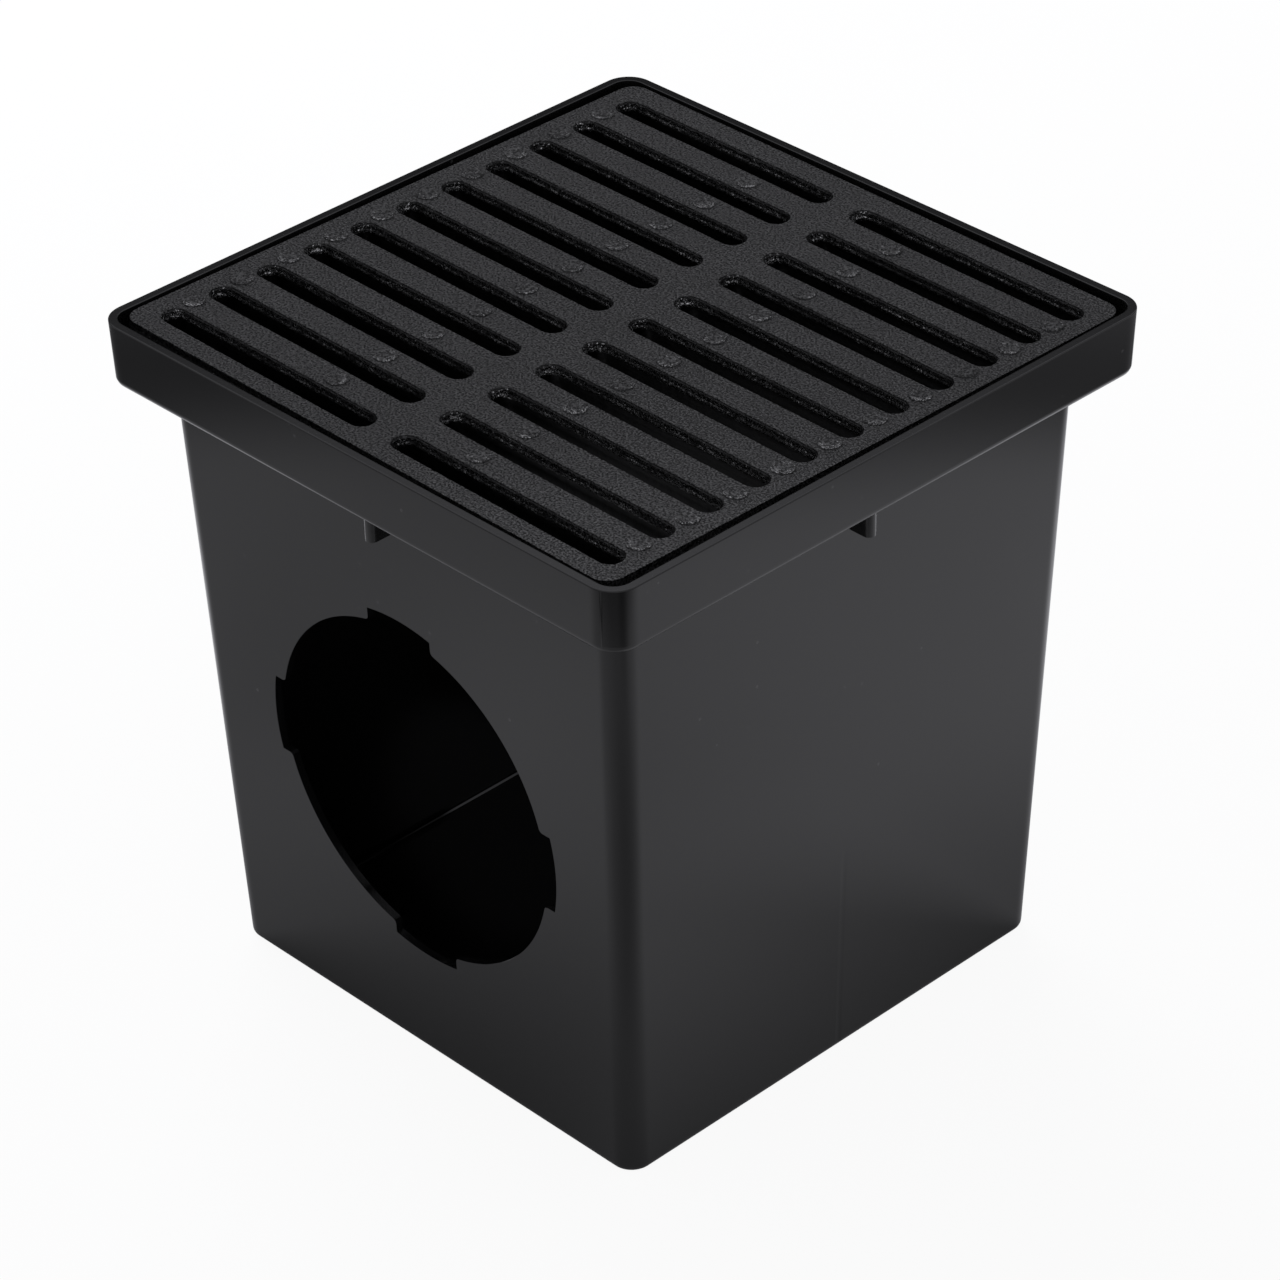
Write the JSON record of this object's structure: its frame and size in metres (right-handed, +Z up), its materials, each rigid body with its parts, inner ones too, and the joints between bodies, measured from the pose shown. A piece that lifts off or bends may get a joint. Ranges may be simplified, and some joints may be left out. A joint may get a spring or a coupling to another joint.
{
  "type": "catch basin with gully grate",
  "caption": "Square tapering plastic catch basin with notched round pipe outlets and a loose slotted cast-iron grate seated in its rim.",
  "frame": {"origin": "middle of the basin's base, where it stands", "axes": "+Z up, -Y out through the front pipe outlet, the grate's slots along X"},
  "size_m": [0.318, 0.318, 0.3274],
  "materials": {
    "basin_plastic": "satin black moulding, a little scuffed",
    "grate_iron": "black dipped coating over a fine sand-cast skin"
  },
  "bodies": {
    "root": {"basin": "basin_plastic", "grate": "grate_iron"}
  },
  "joints": []
}
